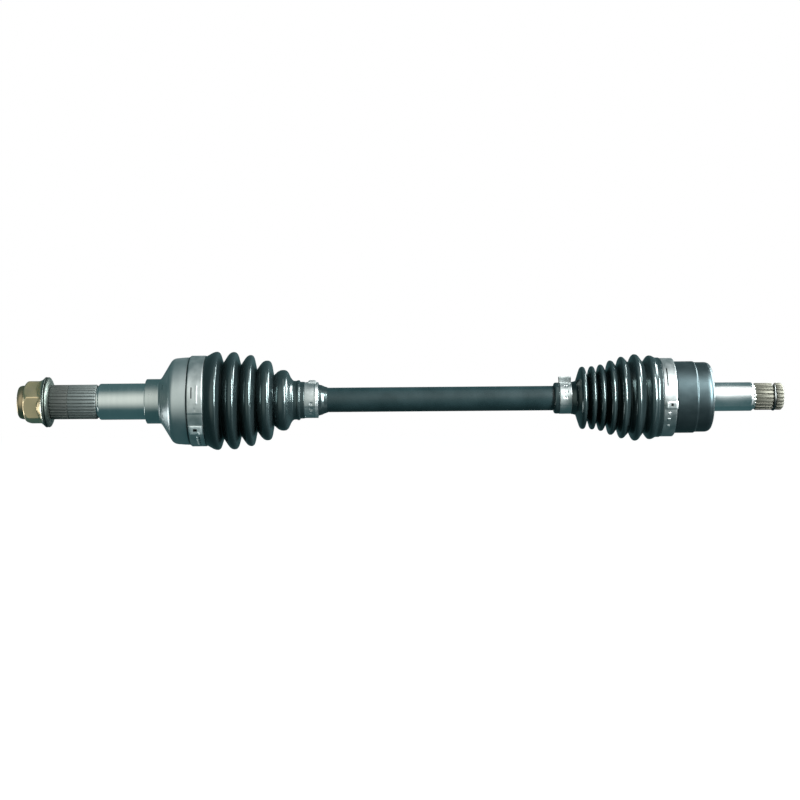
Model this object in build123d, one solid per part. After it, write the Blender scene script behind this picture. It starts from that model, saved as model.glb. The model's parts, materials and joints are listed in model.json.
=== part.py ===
"""Half shaft with a fixed ball joint at the wheel end and a plunging one at the differential end.

Millimetres. +X runs along the shaft towards the differential, +Z is up. The origin is on the
axis, in the plane where the wheel bearing journal meets its shoulder.
"""
import os
from math import cos, pi, radians, sin, sqrt

from build123d import *

BALLS = 6
FIRST_BALL = 90.0

# Wheel-end stub
NUT_TIP = -105.6
HEX_START = -100.3
HEX_END = -88.5
FLANGE_BACK = -82.2
WASHER_FRONT = -82.1
SPLINE_START = -79.0
SPLINE_END = -40.6
JOURNAL_START = -39.1
HEX_ACROSS_FLATS = 32.0
HEX_CORNER_R = HEX_ACROSS_FLATS / sqrt(3)
HEX_CHAMFER_R = 15.2
HEX_CHAMFER = 2.2
HEX_TURN = -13.0
NUT_COLLAR_R = 14.2
FLANGE_R = 20.9
FLANGE_CONE_R = 16.4
FLANGE_LIP = 2.2
WASHER_BACK_R = 18.4
THREAD_R = 11.0
THREAD_GAP = 0.05
THREAD_END = -104.2
WHEEL_SPLINE_R = 14.3
WHEEL_SPLINE_TEETH = 30
WHEEL_SPLINE_DEPTH = 1.2
WHEEL_SPLINE_CHAMFER = 0.9
RELIEF_R = 12.5
JOURNAL_R = 15.0
JOURNAL_CHAMFER = 0.8
SHOULDER_R = 18.5

# Wheel-end joint
WINDOW_GAP = 0.3
WINDOW_PLAY = 1.6
OUTER_CENTRE = 36.4
OUTER_PITCH_R = 24.0
OUTER_BALL_R = 6.35
OUTER_TRACK_R = 8.1
OUTER_BORE_SPHERE_R = 26.5
OUTER_CAGE_R = 26.2
OUTER_CAGE_INNER_R = 22.2
OUTER_CAGE_HALF = 11.0
OUTER_RACE_R = 21.9
OUTER_RACE_HALF = 10.5
OUTER_SEAT_R = 9.8
OUTER_DEPTH = 21.0
OUTER_HALF_BEND = 21.0
OUTER_TRACK_MOUTH = 45
MOUTH_CONE_START = OUTER_CENTRE + 10
MOUTH_CONE_RISE = 3.6
SHOULDER_END = 12.0
BELL_CORNER = 21.6
BELL_R = 36.3
BELL_MOUTH = 50.4
BELL_SEAT_START = 36.2
BELL_SEAT_R = 34.8

# Shaft bar
BAR_R = 10.2
NECK_START = 401.0
NECK_R = 9.5
CLIP_GROOVE = 1.0
CLIP_RISE = 1.2
RACE_GAP = 0.05

# Differential-end joint
INNER_CENTRE = 438.7
INNER_PITCH_R = 20.0
INNER_BALL_R = 6.35
INNER_TRACK_R = 7.95
CUP_TRACK_R = 6.65
CUP_TRACK_END = 454.9
CUP_BORE_R = 22.8
CUP_BORE_END = 462.0
CUP_MOUTH = 421.7
CUP_SEAT_R = 28.9
CUP_SEAT_END = 436.0
CUP_R = 29.7
CUP_STEP = 453.0
CUP_REAR_R = 28.9
CUP_FACE = 467.0
INNER_CAGE_R = 22.4
INNER_CAGE_INNER_R = 18.4
INNER_CAGE_HALF = 9.5
INNER_RACE_R = 18.1
INNER_RACE_HALF = 9.5
INNER_SEAT_R = 9.0
CUP_CORNER = 5.6
CUP_CHAMFER = 0.8
CUP_MOUTH_CHAMFER = 2.8
CUP_MOUTH_DEPTH = 1.8
STOPPER_X = 423.9
STOPPER_RING_R = 22.9
STOPPER_WIRE_R = 1.05
STOPPER_GROOVE_R = 24.1
STOPPER_GAP = 14

# Differential stub
DIFF_JOURNAL_R = 11.9
DIFF_JOURNAL_END = 500.4
DIFF_SPLINE_START = 504.5
DIFF_SPLINE_END = 526.8
DIFF_SPLINE_R = 11.2
DIFF_SPLINE_TEETH = 20
DIFF_SPLINE_DEPTH = 1.3
DIFF_SPLINE_CHAMFER = 1.4
CIRCLIP_X = 519.2
CIRCLIP_WIRE_R = 1.0
CIRCLIP_R = 10.6
CIRCLIP_DROP = 0.3
CIRCLIP_GAP = 30
CIRCLIP_GROOVE_R = 9.2
CIRCLIP_GROOVE_HALF = 1.4

# Boots and bands
BOOT_WALL = 2.4
SEAT_GAP = 0.15
OUTER_COLLAR_R = 36.95
OUTER_BAND = (37.5, 49.5)
OUTER_BAND_R = 38.0
OUTER_SMALL_BAND = (131.0, 142.3)
OUTER_SMALL_BAND_R = 15.2
INNER_COLLAR_R = 32.0
INNER_BAND = (424.6, 435.0)
INNER_BAND_R = 32.9
INNER_SMALL_BAND = (341.8, 351.6)
INNER_SMALL_BAND_R = 13.4
BAND_THICKNESS = 0.9
TAB_THICKNESS = 1.0
OUTER_NECK = (121.8, 149.8)
INNER_NECK = (352.6, 337.4)

# Boot crests and valleys, as (x, outer radius)
OUTER_FOLDS = [
    (51.2, 37.4), (59.0, 40.8), (64.2, 31.6), (73.9, 39.9), (78.3, 29.6), (86.8, 37.1),
    (91.8, 25.8), (100.5, 32.5), (105.6, 20.9), (114.6, 25.2), (120.6, 17.0),
]
INNER_FOLDS = [
    (355.0, 14.6), (360.9, 25.4), (364.6, 18.4), (368.3, 25.7), (372.3, 20.2), (376.3, 27.0),
    (380.5, 22.2), (384.8, 30.4), (389.0, 26.4), (392.9, 33.4), (398.7, 29.3), (403.9, 35.4),
    (410.7, 29.4), (416.6, 34.3), (420.9, 33.0),
]

X = Vector(1, 0, 0)


def turned(outline):
    """Solid of revolution about the shaft axis, from (x, radius) points."""
    face = make_face(Polyline(*[(x, 0, r) for x, r in outline], close=True))
    return revolve(face, Axis.X)


def ring(x0, x1, inner_r, outer_r):
    """Plain ring between two planes."""
    return turned([(x0, inner_r), (x0, outer_r), (x1, outer_r), (x1, inner_r)])


def disc(x0, x1, r):
    """Plain cylinder between two planes."""
    return turned([(x0, 0), (x0, r), (x1, r), (x1, 0)])


def sector(x0, x1, inner_r, outer_r, low, high):
    """Part of a ring; its angles rise from the -Y side towards the top."""
    corners = [(x0, -inner_r, 0), (x0, -outer_r, 0), (x1, -outer_r, 0), (x1, -inner_r, 0)]
    face = make_face(Polyline(*corners, close=True))
    return Rot(-high, 0, 0) * revolve(face, Axis.X, revolution_arc=high - low)


def splined(x0, x1, tip_r, depth, teeth, chamfer):
    """Straight-sided splines round a shaft, with a chamfer at both ends."""
    points = []
    pitch = 2 * pi / teeth
    for i in range(teeth):
        for share, r in ((-0.36, tip_r - depth), (-0.20, tip_r), (0.20, tip_r), (0.36, tip_r - depth)):
            angle = (i + share) * pitch
            points.append((0, r * cos(angle), r * sin(angle)))
    bar = extrude(make_face(Polyline(*points, close=True)), amount=x1 - x0, dir=X)
    envelope = turned([
        (x0, 0), (x0, tip_r - chamfer), (x0 + chamfer, tip_r),
        (x1 - chamfer, tip_r), (x1, tip_r - chamfer), (x1, 0),
    ])
    return (Pos(x0, 0, 0) * bar) & envelope


def ball_angles():
    """Angles of the balls about the shaft, in degrees from +Y; the first is at the top."""
    return [FIRST_BALL + 360 * i / BALLS for i in range(BALLS)]


def spoke(angle):
    """Unit vector square to the shaft at an angle."""
    return Vector(0, cos(radians(angle)), sin(radians(angle)))


def curved_track(centre_x, pitch_r, track_r, angle, low, high):
    """Round groove bent about the joint centre, from low to high degrees towards +X."""
    out = spoke(angle)
    start = out * cos(radians(low)) + X * sin(radians(low))
    plane = Plane(origin=(centre_x, 0, 0), x_dir=start, z_dir=out.cross(X))
    return plane * Torus(pitch_r, track_r, major_angle=high - low, align=None)


def balls(centre_x, pitch_r, ball_r):
    """The balls of a joint at rest."""
    return [Pos(*(X * centre_x + spoke(a) * pitch_r)) * Sphere(ball_r) for a in ball_angles()]


def cage(centre_x, outer_r, inner_r, half, pitch_r, ball_r):
    """Ball cage: a slice of a hollow sphere with a window for each ball."""
    shell = Pos(centre_x, 0, 0) * (Sphere(outer_r) - Sphere(inner_r))
    shell = shell & disc(centre_x - half, centre_x + half, outer_r + 1)
    for angle in ball_angles():
        window = Box(2 * ball_r + WINDOW_GAP, 2 * ball_r + WINDOW_PLAY, 3 * ball_r)
        place = Plane(origin=X * centre_x + spoke(angle) * pitch_r, x_dir=X, z_dir=spoke(angle))
        shell = shell - place * window
    return shell


def race(centre_x, outer_r, half, bore_r, pitch_r, track_r):
    """Inner race: a slice of a sphere with a bore and curved ball tracks."""
    body = Pos(centre_x, 0, 0) * Sphere(outer_r) & disc(centre_x - half, centre_x + half, outer_r + 1)
    body = body - disc(centre_x - half - 1, centre_x + half + 1, bore_r)
    for angle in ball_angles():
        body = body - curved_track(centre_x, pitch_r, track_r, angle, -45, 45)
    return body


def snap_ring(x0, x1, inner_r, outer_r):
    """Open retaining ring with its gap at the top."""
    gap = Box(x1 - x0 + 2, 4, 2 * outer_r)
    return ring(x0, x1, inner_r, outer_r) - Pos((x0 + x1) / 2, 0, outer_r) * gap


def wheel_nut():
    """Flanged lock nut: thin collar, hexagon and a coned flange."""
    hexagon = RegularPolygon(HEX_ACROSS_FLATS / 2, 6, major_radius=False, rotation=HEX_TURN)
    prism = Pos(HEX_START, 0, 0) * extrude(Plane.YZ * hexagon, amount=FLANGE_BACK - HEX_START)
    prism = prism & turned([
        (HEX_START, 0), (HEX_START, HEX_CHAMFER_R), (HEX_START + HEX_CHAMFER, HEX_CORNER_R + 0.1),
        (FLANGE_BACK, HEX_CORNER_R + 0.1), (FLANGE_BACK, 0),
    ])
    collar = turned([
        (NUT_TIP, 0), (NUT_TIP, NUT_COLLAR_R - 1.2), (NUT_TIP + 1.2, NUT_COLLAR_R - 0.3),
        (HEX_START, NUT_COLLAR_R), (HEX_START, 0),
    ])
    lip = FLANGE_BACK - FLANGE_LIP
    flange = turned([
        (HEX_END, 0), (HEX_END, FLANGE_CONE_R), (lip, FLANGE_R - 0.7), (lip + 0.8, FLANGE_R),
        (FLANGE_BACK - 0.4, FLANGE_R), (FLANGE_BACK, FLANGE_R - 0.5), (FLANGE_BACK, 0),
    ])
    return prism + collar + flange - disc(NUT_TIP - 1, FLANGE_BACK + 1, THREAD_R + THREAD_GAP)


def nut_washer():
    """Conical washer that stays on the nut."""
    back = SPLINE_START - THREAD_GAP
    return turned([
        (WASHER_FRONT, THREAD_R + THREAD_GAP), (WASHER_FRONT, FLANGE_R - 0.5),
        (WASHER_FRONT + 0.6, FLANGE_R), (WASHER_FRONT + 2.2, FLANGE_R - 0.3),
        (back, WASHER_BACK_R), (back, THREAD_R + THREAD_GAP),
    ])


def outer_housing():
    """Bell of the wheel-end joint, forged in one with its journal, splines and thread."""
    nose = BELL_SEAT_START - 2.4
    shape = turned([
        (JOURNAL_START, 0), (JOURNAL_START, JOURNAL_R - JOURNAL_CHAMFER),
        (JOURNAL_START + JOURNAL_CHAMFER, JOURNAL_R),
        (0, JOURNAL_R), (0, SHOULDER_R - 0.4), (0.4, SHOULDER_R), (SHOULDER_END, SHOULDER_R),
        (SHOULDER_END + 1, SHOULDER_R + 1.5), (BELL_CORNER, BELL_R - 2.8),
        (BELL_CORNER + 1.2, BELL_R - 1.6), (BELL_CORNER + 2.8, BELL_R - 0.9), (nose, BELL_R),
        (BELL_SEAT_START, BELL_R), (BELL_SEAT_START, BELL_SEAT_R),
        (BELL_MOUTH - 0.8, BELL_SEAT_R), (BELL_MOUTH, BELL_SEAT_R - 0.8), (BELL_MOUTH, 0),
    ])
    shape += disc(SPLINE_END, JOURNAL_START, RELIEF_R)
    shape += splined(
        SPLINE_START, SPLINE_END, WHEEL_SPLINE_R, WHEEL_SPLINE_DEPTH, WHEEL_SPLINE_TEETH,
        WHEEL_SPLINE_CHAMFER,
    )
    shape += turned([
        (THREAD_END, 0), (THREAD_END, THREAD_R - 1), (THREAD_END + 1, THREAD_R),
        (SPLINE_START, THREAD_R), (SPLINE_START, 0),
    ])
    hollow = Pos(OUTER_CENTRE, 0, 0) * Sphere(OUTER_BORE_SPHERE_R)
    hollow = hollow & disc(OUTER_CENTRE - OUTER_DEPTH, BELL_MOUTH + 1, OUTER_BORE_SPHERE_R + 1)
    mouth_r = sqrt(OUTER_BORE_SPHERE_R**2 - (MOUTH_CONE_START - OUTER_CENTRE) ** 2)
    mouth = turned([
        (MOUTH_CONE_START, 0), (MOUTH_CONE_START, mouth_r), (BELL_MOUTH, mouth_r + MOUTH_CONE_RISE),
        (BELL_MOUTH + 1, mouth_r + MOUTH_CONE_RISE), (BELL_MOUTH + 1, 0),
    ])
    shape = shape - hollow - mouth
    for angle in ball_angles():
        shape = shape - curved_track(
            OUTER_CENTRE, OUTER_PITCH_R, OUTER_TRACK_R, angle, -OUTER_HALF_BEND, OUTER_TRACK_MOUTH
        )
        end = X * (OUTER_CENTRE - OUTER_PITCH_R * sin(radians(OUTER_HALF_BEND)))
        end += spoke(angle) * OUTER_PITCH_R * cos(radians(OUTER_HALF_BEND))
        shape = shape - Pos(*end) * Sphere(OUTER_TRACK_R)
    return shape


def shaft_bar():
    """Solid bar that carries both inner races."""
    outer_groove = OUTER_CENTRE - OUTER_RACE_HALF - RACE_GAP
    outer_stop = OUTER_CENTRE + OUTER_RACE_HALF + RACE_GAP
    inner_groove = INNER_CENTRE + INNER_RACE_HALF + RACE_GAP
    inner_stop = INNER_CENTRE - INNER_RACE_HALF - RACE_GAP
    outer_groove_r = OUTER_SEAT_R - CLIP_GROOVE
    inner_groove_r = INNER_SEAT_R - CLIP_GROOVE
    return turned([
        (outer_groove - 2.6, 0), (outer_groove - 2.6, OUTER_SEAT_R - 1.4),
        (outer_groove - 1.4, OUTER_SEAT_R), (outer_groove - 1.3, OUTER_SEAT_R),
        (outer_groove - 1.3, outer_groove_r), (outer_groove, outer_groove_r),
        (outer_groove, OUTER_SEAT_R), (outer_stop, OUTER_SEAT_R), (outer_stop, BAR_R),
        (NECK_START, BAR_R), (NECK_START + 2, NECK_R), (inner_stop, NECK_R),
        (inner_stop, INNER_SEAT_R), (inner_groove, INNER_SEAT_R), (inner_groove, inner_groove_r),
        (inner_groove + 1.2, inner_groove_r), (inner_groove + 1.2, INNER_SEAT_R),
        (inner_groove + 1.3, INNER_SEAT_R), (inner_groove + 2.2, INNER_SEAT_R - 1.4),
        (inner_groove + 2.2, 0),
    ])


def inner_cup():
    """Cup of the plunging joint, forged in one with its stub and splines."""
    corner_x = CUP_FACE - CUP_CORNER
    corner_r = CUP_REAR_R - CUP_CORNER
    arc = []
    for step in range(7):
        turn = radians(15 * step)
        arc.append((corner_x + CUP_CORNER * sin(turn), corner_r + CUP_CORNER * cos(turn)))
    shape = turned([
        (CUP_MOUTH, 0), (CUP_MOUTH, CUP_SEAT_R - CUP_CHAMFER), (CUP_MOUTH + CUP_CHAMFER, CUP_SEAT_R),
        (CUP_SEAT_END, CUP_SEAT_R), (CUP_SEAT_END, CUP_R - 0.3), (CUP_SEAT_END + 0.3, CUP_R),
        (CUP_STEP, CUP_R), (CUP_STEP + CUP_CHAMFER, CUP_REAR_R), *arc,
        (CUP_FACE, DIFF_JOURNAL_R + CUP_CHAMFER), (CUP_FACE + CUP_CHAMFER, DIFF_JOURNAL_R),
        (DIFF_JOURNAL_END, DIFF_JOURNAL_R), (DIFF_SPLINE_START - 0.6, DIFF_SPLINE_R - 1.4),
        (DIFF_SPLINE_START, DIFF_SPLINE_R - 1.4), (DIFF_SPLINE_START, 0),
    ])
    shape += splined(
        DIFF_SPLINE_START, DIFF_SPLINE_END, DIFF_SPLINE_R, DIFF_SPLINE_DEPTH, DIFF_SPLINE_TEETH,
        DIFF_SPLINE_CHAMFER,
    )
    shape -= ring(
        CIRCLIP_X - CIRCLIP_GROOVE_HALF, CIRCLIP_X + CIRCLIP_GROOVE_HALF,
        CIRCLIP_GROOVE_R, DIFF_SPLINE_R + 1,
    )
    shape -= disc(CUP_MOUTH - 1, CUP_BORE_END, CUP_BORE_R)
    mouth_end = CUP_MOUTH + CUP_MOUTH_DEPTH
    shape -= turned([
        (CUP_MOUTH - 1, 0), (CUP_MOUTH - 1, CUP_BORE_R + CUP_MOUTH_CHAMFER),
        (mouth_end, CUP_BORE_R), (mouth_end, 0),
    ])
    shape -= disc(
        STOPPER_X - STOPPER_WIRE_R - RACE_GAP, STOPPER_X + STOPPER_WIRE_R + RACE_GAP, STOPPER_GROOVE_R
    )
    for angle in ball_angles():
        track = disc(CUP_MOUTH - 1, CUP_TRACK_END, CUP_TRACK_R)
        shape -= Pos(*(spoke(angle) * INNER_PITCH_R)) * track
    return shape


def open_wire_ring(x, ring_r, wire_r, gap_angle):
    """Round wire bent into an open ring, with its gap at the top."""
    start = Vector(0, cos(radians(90 + gap_angle / 2)), sin(radians(90 + gap_angle / 2)))
    plane = Plane(origin=(x, 0, 0), x_dir=start, z_dir=X)
    return plane * Torus(ring_r, wire_r, major_angle=360 - gap_angle, align=None)


def boot(crests, collar, collar_r, collar_bore, neck, neck_r):
    """Folded rubber boot: collar, folds and neck, with the folds hollow throughout."""
    outside = [(collar[0], collar_r), (collar[1], collar_r), *crests, (neck[0], neck_r), (neck[1], neck_r)]
    inside = [(collar[0], collar_bore), (collar[1], collar_bore)]
    inside += [(x, r - BOOT_WALL) for x, r in crests]
    inside += [(neck[0], BAR_R), (neck[1], BAR_R)]
    return turned(outside + inside[::-1])


def band(span, band_r, tabs):
    """Band clamp with raised tabs, each given by its angles and height."""
    shape = ring(span[0], span[1], band_r - BAND_THICKNESS, band_r)
    for low, high, height, inset in tabs:
        root_r = band_r - BAND_THICKNESS / 2
        shape += sector(span[0] + inset, span[1] - inset, root_r, band_r + height, low, high)
    return shape


def parts():
    """Every node of the object with its solid."""
    made = {
        "wheel_nut": wheel_nut(),
        "nut_washer": nut_washer(),
        "outer_joint_housing": outer_housing(),
        "outer_joint_cage": cage(
            OUTER_CENTRE, OUTER_CAGE_R, OUTER_CAGE_INNER_R, OUTER_CAGE_HALF,
            OUTER_PITCH_R, OUTER_BALL_R,
        ),
        "outer_joint_race": race(
            OUTER_CENTRE, OUTER_RACE_R, OUTER_RACE_HALF, OUTER_SEAT_R,
            OUTER_PITCH_R, OUTER_TRACK_R,
        ),
        "outer_race_clip": snap_ring(
            OUTER_CENTRE - OUTER_RACE_HALF - 1.3, OUTER_CENTRE - OUTER_RACE_HALF - 0.1,
            OUTER_SEAT_R - CLIP_GROOVE, OUTER_SEAT_R + CLIP_RISE,
        ),
        "outer_boot": boot(
            OUTER_FOLDS, (BELL_SEAT_START + 0.2, BELL_MOUTH + 0.4), OUTER_COLLAR_R,
            BELL_SEAT_R + SEAT_GAP, OUTER_NECK, OUTER_SMALL_BAND_R - BAND_THICKNESS,
        ),
        "outer_boot_clamp_large": band(OUTER_BAND, OUTER_BAND_R, [(-11, 24, TAB_THICKNESS, 2.6)]),
        "outer_boot_clamp_small": band(OUTER_SMALL_BAND, OUTER_SMALL_BAND_R, [(66, 104, 1.6, 2.4)]),
        "shaft_bar": shaft_bar(),
        "inner_boot_clamp_small": band(INNER_SMALL_BAND, INNER_SMALL_BAND_R, [(62, 112, 4.6, 1.8)]),
        "inner_boot_clamp_large": band(INNER_BAND, INNER_BAND_R, [(-16, -4, TAB_THICKNESS, 2.0)]),
        "inner_boot": boot(
            INNER_FOLDS[::-1], (CUP_SEAT_END - 0.3, CUP_MOUTH + 0.1), INNER_COLLAR_R,
            CUP_SEAT_R + SEAT_GAP, INNER_NECK, INNER_SMALL_BAND_R - BAND_THICKNESS,
        ),
        "inner_joint_cup": inner_cup(),
        "inner_joint_cage": cage(
            INNER_CENTRE, INNER_CAGE_R, INNER_CAGE_INNER_R, INNER_CAGE_HALF,
            INNER_PITCH_R, INNER_BALL_R,
        ),
        "inner_joint_race": race(
            INNER_CENTRE, INNER_RACE_R, INNER_RACE_HALF, INNER_SEAT_R,
            INNER_PITCH_R, INNER_TRACK_R,
        ),
        "inner_race_clip": snap_ring(
            INNER_CENTRE + INNER_RACE_HALF + 0.1, INNER_CENTRE + INNER_RACE_HALF + 1.2,
            INNER_SEAT_R - CLIP_GROOVE, INNER_SEAT_R + CLIP_RISE,
        ),
        "cup_stopper_ring": open_wire_ring(
            STOPPER_X, STOPPER_RING_R, STOPPER_WIRE_R, STOPPER_GAP
        ),
        "stub_circlip": Pos(0, 0, -CIRCLIP_DROP) * open_wire_ring(
            CIRCLIP_X, CIRCLIP_R, CIRCLIP_WIRE_R, CIRCLIP_GAP
        ),
    }
    for number, ball in enumerate(balls(OUTER_CENTRE, OUTER_PITCH_R, OUTER_BALL_R), 1):
        made[f"outer_ball_{number}"] = ball
    for number, ball in enumerate(balls(INNER_CENTRE, INNER_PITCH_R, INNER_BALL_R), 1):
        made[f"inner_ball_{number}"] = ball
    return made


os.makedirs("parts", exist_ok=True)
for name, shape in parts().items():
    export_step(shape, f"parts/{name}.step")
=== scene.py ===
"""Looks of a half shaft with a fixed and a plunging ball joint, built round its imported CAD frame."""
import json
from collections import namedtuple
from math import cos, hypot, pi, radians, sin, sqrt

import bpy
from mathutils import Euler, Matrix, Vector


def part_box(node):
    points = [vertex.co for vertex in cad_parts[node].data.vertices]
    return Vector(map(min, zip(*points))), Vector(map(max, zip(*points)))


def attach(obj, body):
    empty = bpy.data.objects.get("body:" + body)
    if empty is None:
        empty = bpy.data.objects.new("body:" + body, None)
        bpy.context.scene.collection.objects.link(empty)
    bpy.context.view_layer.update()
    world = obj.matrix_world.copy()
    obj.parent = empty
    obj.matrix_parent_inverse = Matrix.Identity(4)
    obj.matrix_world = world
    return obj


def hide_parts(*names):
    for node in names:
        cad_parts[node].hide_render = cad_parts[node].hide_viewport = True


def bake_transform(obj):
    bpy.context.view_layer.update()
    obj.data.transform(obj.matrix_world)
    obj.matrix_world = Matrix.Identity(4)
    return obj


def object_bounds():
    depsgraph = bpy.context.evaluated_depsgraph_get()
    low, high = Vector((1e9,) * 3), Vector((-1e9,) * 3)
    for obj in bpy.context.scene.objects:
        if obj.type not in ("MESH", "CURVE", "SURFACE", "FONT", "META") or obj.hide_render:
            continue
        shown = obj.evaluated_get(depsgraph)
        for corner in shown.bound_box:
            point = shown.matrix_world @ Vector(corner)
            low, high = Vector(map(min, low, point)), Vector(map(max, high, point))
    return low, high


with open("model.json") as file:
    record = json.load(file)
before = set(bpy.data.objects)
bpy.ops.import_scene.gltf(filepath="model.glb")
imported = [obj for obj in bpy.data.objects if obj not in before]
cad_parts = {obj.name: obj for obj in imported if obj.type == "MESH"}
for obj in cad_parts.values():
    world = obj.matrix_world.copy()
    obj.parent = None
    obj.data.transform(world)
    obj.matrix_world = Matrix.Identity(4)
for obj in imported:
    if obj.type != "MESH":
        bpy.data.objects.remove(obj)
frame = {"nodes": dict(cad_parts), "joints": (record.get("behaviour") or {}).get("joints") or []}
CAD_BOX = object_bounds()
MIDDLE_X = (CAD_BOX[0].x + CAD_BOX[1].x) / 2

MM = 0.001
ROUND = 160


# ---------------------------------------------------------------- frame dimensions, in millimetres

def span(node):
    """Where a CAD node starts and ends along the shaft."""
    low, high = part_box(node)
    return low.x / MM, high.x / MM


def radius(node):
    """Largest radius of a CAD node, read across the front of the shaft."""
    return -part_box(node)[0].y / MM


def joint_x(name):
    """Place of a hinge along the shaft."""
    joint = next(j for j in frame["joints"] if j["name"] == name)
    return joint["pos_m"][0] / MM


OUTER_CENTRE = joint_x("outer_pitch")
INNER_CENTRE = joint_x("inner_pitch")
HOUSING_START, BELL_MOUTH = span("outer_joint_housing")
NUT_START, NUT_END = span("wheel_nut")
WASHER_START, WASHER_END = span("nut_washer")
CUP_MOUTH, STUB_END = span("inner_joint_cup")
BAR_START, BAR_END = span("shaft_bar")
BAR_R = radius("shaft_bar")
CUP_R = radius("inner_joint_cup")
BELL_R = radius("outer_joint_housing")
FLANGE_R = radius("wheel_nut")
BAND_THICKNESS = 0.9

HEX_FLATS = 32.0
HEX_TURN = -13.0
HEX_START = NUT_START + 5.3
HEX_END = NUT_START + 17.1
HEX_CHAMFER = 5.0
COLLAR_R = 14.0
NUT_BORE_R = 11.05

SPLINE_START = WASHER_END + 0.05
SPLINE_BREAK = -64.1
SPLINE_END = -40.6
SPLINE_TEETH = 30
SPLINE_R = 14.3
SPLINE_DEPTH = 0.9
THREAD_R = 11.0
JOURNAL_R = 15.0
JOURNAL_START = -39.1
SHOULDER_R = 18.5
SHOULDER_END = 12.0
BELL_SEAT_R = 34.8
BELL_SEAT_START = 36.2
OUTER_PITCH_R = 24.0
OUTER_TRACK_R = 8.1

CUP_SEAT_R = 28.9
CUP_SEAT_END = 436.0
CUP_STEP = 453.0
CUP_REAR_R = 28.9
CUP_FACE = 467.0
STUB_R = 11.9
STUB_JOURNAL_END = 500.4
STUB_SPLINE_START = 504.5
STUB_SPLINE_R = 11.2
STUB_TEETH = 20
INNER_PITCH_R = 20.0
INNER_TRACK_R = 6.65


# ---------------------------------------------------------------- mesh tools

def make_object(name, verts, faces, materials, face_slots=None):
    """Mesh object with smooth faces, from points in millimetres."""
    mesh = bpy.data.meshes.new(name)
    mesh.from_pydata([(x * MM, y * MM, z * MM) for x, y, z in verts], [], faces)
    for material in materials:
        mesh.materials.append(material)
    if face_slots:
        mesh.polygons.foreach_set("material_index", face_slots)
    mesh.shade_smooth()
    mesh.update()
    thing = bpy.data.objects.new(name, mesh)
    bpy.context.scene.collection.objects.link(thing)
    return thing


def even_angles(count):
    """Angles all round the shaft, in radians."""
    return [2 * pi * i / count for i in range(count)]


# Shares of an edge that a corner's cut and the flat point past it may take, and how far past it lies.
CUT_SHARE = 0.45
FLAT_SHARE = 0.49
FLAT_LEAD = 1.35


def past_cut(here, edge, cut):
    """Point on an edge just past a corner's cut, which keeps the rest of the face flat."""
    return tuple(here + edge.normalized() * min(cut * FLAT_LEAD, edge.length * FLAT_SHARE))


def softened(outline, closed=False):
    """Outline with each corner (x, r, cut) cut back and rounded, and the faces beside it kept flat."""
    points = []
    count = len(outline)
    for i, corner in enumerate(outline):
        x, r = corner[0], corner[1]
        cut = corner[2] if len(corner) > 2 else 0
        if cut == 0 or (not closed and i in (0, count - 1)):
            points.append((x, r))
            continue
        here = Vector((x, r))
        before = Vector(outline[i - 1][:2]) - here
        after = Vector(outline[(i + 1) % count][:2]) - here
        cut_before = min(cut, before.length * CUT_SHARE)
        cut_after = min(cut, after.length * CUT_SHARE)
        start = here + before.normalized() * cut_before
        end = here + after.normalized() * cut_after
        points.append(past_cut(here, before, cut_before))
        steps = 4 if cut < 1.5 else 8
        for k in range(steps + 1):
            t = k / steps
            points.append(tuple(start * (1 - t) ** 2 + here * 2 * t * (1 - t) + end * t * t))
        points.append(past_cut(here, after, cut_after))
    return points


def skin(name, rings, materials, slots=None, closed=False):
    """Surface through rings of points round the shaft; open ends are closed with a fan."""
    size = len(rings[0])
    verts = [p for ring in rings for p in ring]
    faces = []
    face_slots = []
    pairs = [(i, i + 1) for i in range(len(rings) - 1)]
    if closed:
        pairs.append((len(rings) - 1, 0))
    for i, j in pairs:
        for k in range(size):
            n = (k + 1) % size
            faces.append((i * size + k, i * size + n, j * size + n, j * size + k))
            face_slots.append(slots[i] if slots else 0)
    if not closed:
        for i in (0, len(rings) - 1):
            x = sum(p[0] for p in rings[i]) / size
            centre = len(verts)
            verts.append((x, 0, 0))
            for k in range(size):
                n = (k + 1) % size
                a, b = i * size + k, i * size + n
                faces.append((centre, b, a) if i == 0 else (centre, a, b))
                face_slots.append(slots[min(i, len(slots) - 1)] if slots else 0)
    return make_object(name, verts, faces, materials, face_slots)


def ring_at(x, r, angles):
    """Ring of points; x and r are numbers or functions of the angle."""
    points = []
    for a in angles:
        px = x(a) if callable(x) else x
        pr = r(a) if callable(r) else r
        points.append((px, pr * cos(a), pr * sin(a)))
    return points


def lathe(name, outline, material, closed=False):
    """Turned piece from an outline of (x, r, corner cut)."""
    rings = [ring_at(x, r, even_angles(ROUND)) for x, r in softened(outline, closed)]
    return skin(name, rings, [material], closed=closed)


def joined(name, things):
    """One object from several."""
    bpy.ops.object.select_all(action="DESELECT")
    for thing in things:
        thing.select_set(True)
    bpy.context.view_layer.objects.active = things[0]
    bpy.ops.object.join()
    things[0].name = name
    things[0].data.name = name
    return things[0]


def keep_edges(thing, limit):
    """Marks edges that turn by more than the limit, in degrees, as sharp."""
    thing.data.set_sharp_from_angle(angle=radians(limit))
    return thing


# ---------------------------------------------------------------- materials

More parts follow.
